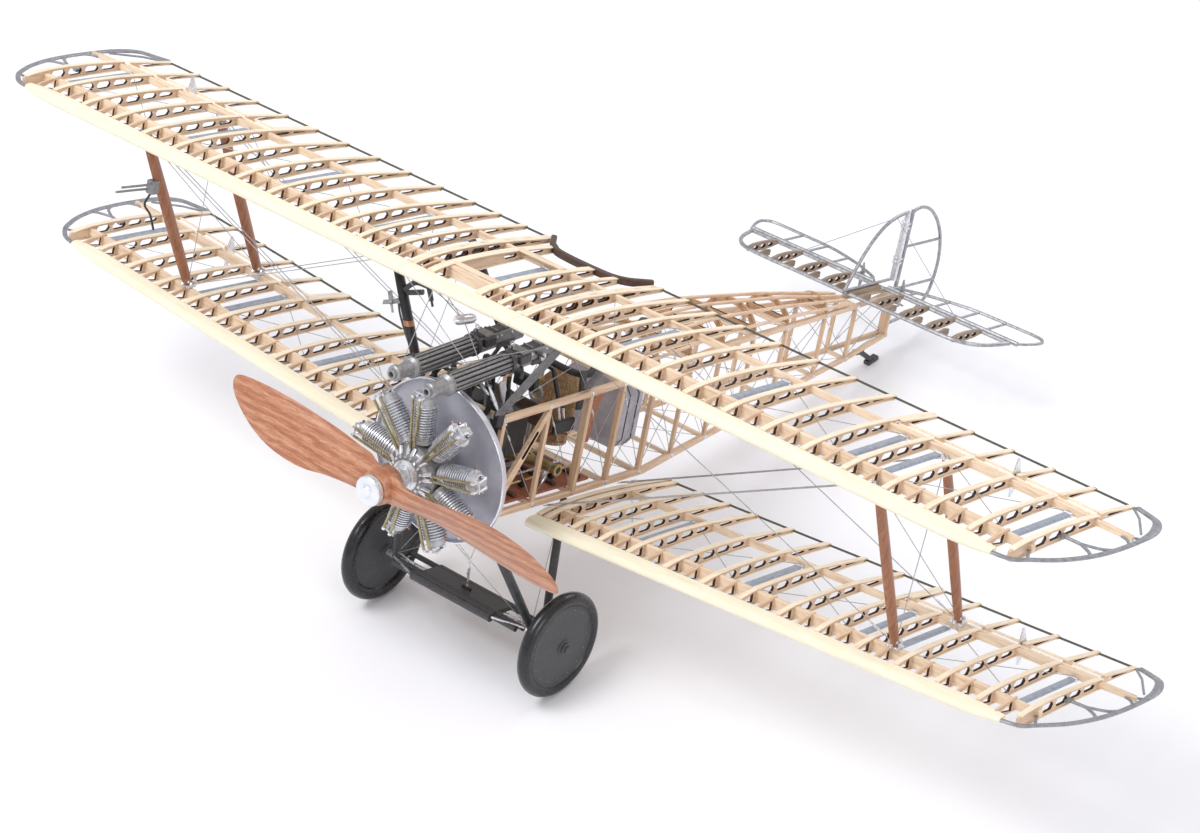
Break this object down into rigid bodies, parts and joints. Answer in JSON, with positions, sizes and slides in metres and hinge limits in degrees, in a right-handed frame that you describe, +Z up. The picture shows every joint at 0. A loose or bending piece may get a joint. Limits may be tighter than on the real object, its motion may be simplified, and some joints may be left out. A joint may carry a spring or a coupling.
{
  "type": "biplane scale model",
  "caption": "Uncovered wooden display model of a single-seat rotary-engined biplane, with bare ribs, framed fuselage, finned radial cylinders, turning propeller, wheels and working controls.",
  "frame": {"origin": "centre of the bounding box on the floor plane, with the model standing nose-up on its two wheels and tail skid", "axes": "+X to port along the span, +Y towards the tail along the floor, +Z up"},
  "size_m": [0.5334, 0.3656, 0.1652],
  "materials": {
    "bright_metal": "polished",
    "dark_paint": "satin",
    "dark_wood": "satin",
    "grey_strip": "satin",
    "gun_metal": "satin",
    "mahogany": "satin",
    "padding": "matte",
    "pale_wood": "satin",
    "sheet_aluminium": "satin",
    "silver_tube": "satin",
    "strut_wood": "satin",
    "tail_wood": "satin",
    "tank_metal": "satin",
    "tyre": "satin",
    "wicker": "matte",
    "wing_wood": "satin"
  },
  "bodies": {
    "airframe": {"axle": "bright_metal", "axle_fairing": "dark_paint", "cabane_strut_front_port": "dark_paint", "cabane_strut_front_starboard": "dark_paint", "cabane_strut_rear_port": "dark_paint", "cabane_strut_rear_starboard": "dark_paint", "coaming": "padding", "cockpit_floor": "dark_wood", "crankshaft": "bright_metal", "cutout_trim": "dark_wood", "engine_backplate": "sheet_aluminium", "fin": "silver_tube", "fuel_tank": "tank_metal", "fuselage_frame": "pale_wood", "gear_struts_port": "gun_metal", "gear_struts_starboard": "gun_metal", "gun_port": "gun_metal", "gun_starboard": "gun_metal", "interplane_strut_front_port": "strut_wood", "interplane_strut_front_starboard": "strut_wood", "interplane_strut_rear_port": "strut_wood", "interplane_strut_rear_starboard": "strut_wood", "lower_tip_bow_port": "grey_strip", "lower_tip_bow_starboard": "grey_strip", "lower_wing_port": "wing_wood", "lower_wing_starboard": "wing_wood", "seat": "wicker", "tail_skid": "wing_wood", "tailplane": "tail_wood", "turtle_deck": "wing_wood", "upper_centre_section": "wing_wood", "upper_tip_bow_port": "grey_strip", "upper_tip_bow_starboard": "grey_strip", "upper_wing_port": "wing_wood", "upper_wing_starboard": "wing_wood"},
    "engine": {"crankcase": "bright_metal", "propeller": "mahogany", "propeller_hub": "bright_metal", "cylinder_1": "bright_metal", "cylinder_2": "bright_metal", "cylinder_3": "bright_metal", "cylinder_4": "bright_metal", "cylinder_5": "bright_metal", "cylinder_6": "bright_metal", "cylinder_7": "bright_metal", "cylinder_8": "bright_metal", "cylinder_9": "bright_metal"},
    "upper_aileron_port": {"upper_aileron_port": "wing_wood"},
    "upper_aileron_starboard": {"upper_aileron_starboard": "wing_wood"},
    "lower_aileron_port": {"lower_aileron_port": "wing_wood"},
    "lower_aileron_starboard": {"lower_aileron_starboard": "wing_wood"},
    "elevator_port": {"elevator_port": "silver_tube"},
    "elevator_starboard": {"elevator_starboard": "silver_tube"},
    "rudder": {"rudder": "silver_tube"},
    "control_column": {"control_column": "gun_metal"},
    "rocking_shaft": {"rocking_shaft": "gun_metal"},
    "rudder_bar": {"rudder_bar": "gun_metal"},
    "wheel_port": {"wheel_port": "tyre"},
    "wheel_starboard": {"wheel_starboard": "tyre"},
    "pump_fan": {"pump_fan": "bright_metal"}
  },
  "joints": [
    {"name": "engine_spin", "type": "hinge", "parent": "airframe", "child": "engine", "pos_m": [0, -0.15231, 0.09662], "axis": [0, -0.9854, 0.1702], "continuous": true},
    {"name": "upper_aileron_port_hinge", "type": "hinge", "parent": "airframe", "child": "upper_aileron_port", "pos_m": [0.2039, -0.06953, 0.14626], "axis": [1, 0, 0], "range_deg": [-20, 20]},
    {"name": "upper_aileron_starboard_hinge", "type": "hinge", "parent": "airframe", "child": "upper_aileron_starboard", "pos_m": [-0.2039, -0.06953, 0.14626], "axis": [1, 0, 0], "range_deg": [-20, 20]},
    {"name": "lower_aileron_port_hinge", "type": "hinge", "parent": "airframe", "child": "lower_aileron_port", "pos_m": [0.2033, -0.05557, 0.06104], "axis": [0.9971, 0.0219, 0.0726], "range_deg": [-20, 20]},
    {"name": "lower_aileron_starboard_hinge", "type": "hinge", "parent": "airframe", "child": "lower_aileron_starboard", "pos_m": [-0.2033, -0.05557, 0.06104], "axis": [0.9971, -0.0219, -0.0726], "range_deg": [-20, 20]},
    {"name": "elevator_port_hinge", "type": "hinge", "parent": "airframe", "child": "elevator_port", "pos_m": [0.038, 0.13866, 0.03833], "axis": [1, 0, 0], "range_deg": [-25, 25]},
    {"name": "elevator_starboard_hinge", "type": "hinge", "parent": "airframe", "child": "elevator_starboard", "pos_m": [-0.038, 0.13866, 0.03833], "axis": [1, 0, 0], "range_deg": [-25, 25]},
    {"name": "rudder_hinge", "type": "hinge", "parent": "airframe", "child": "rudder", "pos_m": [0, 0.15236, 0.04046], "axis": [0, 0.289, 0.9573], "range_deg": [-25, 25]},
    {"name": "rocking_shaft_roll", "type": "hinge", "parent": "airframe", "child": "rocking_shaft", "pos_m": [0, -0.10252, 0.07125], "axis": [0, 0.9573, -0.289], "range_deg": [-12, 12]},
    {"name": "control_column_pitch", "type": "hinge", "parent": "rocking_shaft", "child": "control_column", "pos_m": [0, -0.09582, 0.06922], "axis": [1, 0, 0], "range_deg": [-13, 13]},
    {"name": "rudder_bar_pivot", "type": "hinge", "parent": "airframe", "child": "rudder_bar", "pos_m": [0, -0.12199, 0.07942], "axis": [0, 0.289, 0.9573], "range_deg": [-20, 20]},
    {"name": "wheel_port_spin", "type": "hinge", "parent": "airframe", "child": "wheel_port", "pos_m": [0.0474, -0.12886, 0.02206], "axis": [1, 0, 0], "continuous": true},
    {"name": "wheel_starboard_spin", "type": "hinge", "parent": "airframe", "child": "wheel_starboard", "pos_m": [-0.0474, -0.12886, 0.02206], "axis": [1, 0, 0], "continuous": true},
    {"name": "pump_fan_spin", "type": "hinge", "parent": "airframe", "child": "pump_fan", "pos_m": [-0.0364, -0.12821, 0.1446], "axis": [0, -0.9573, 0.289], "continuous": true}
  ],
  "couplings": [
    {"joint": "upper_aileron_starboard_hinge", "follows": "upper_aileron_port_hinge", "ratio": -1},
    {"joint": "lower_aileron_port_hinge", "follows": "upper_aileron_port_hinge", "ratio": 1},
    {"joint": "lower_aileron_starboard_hinge", "follows": "upper_aileron_port_hinge", "ratio": -1},
    {"joint": "rocking_shaft_roll", "follows": "upper_aileron_port_hinge", "ratio": 0.6},
    {"joint": "elevator_starboard_hinge", "follows": "elevator_port_hinge", "ratio": 1},
    {"joint": "control_column_pitch", "follows": "elevator_port_hinge", "ratio": -0.52},
    {"joint": "rudder_bar_pivot", "follows": "rudder_hinge", "ratio": 0.8}
  ]
}
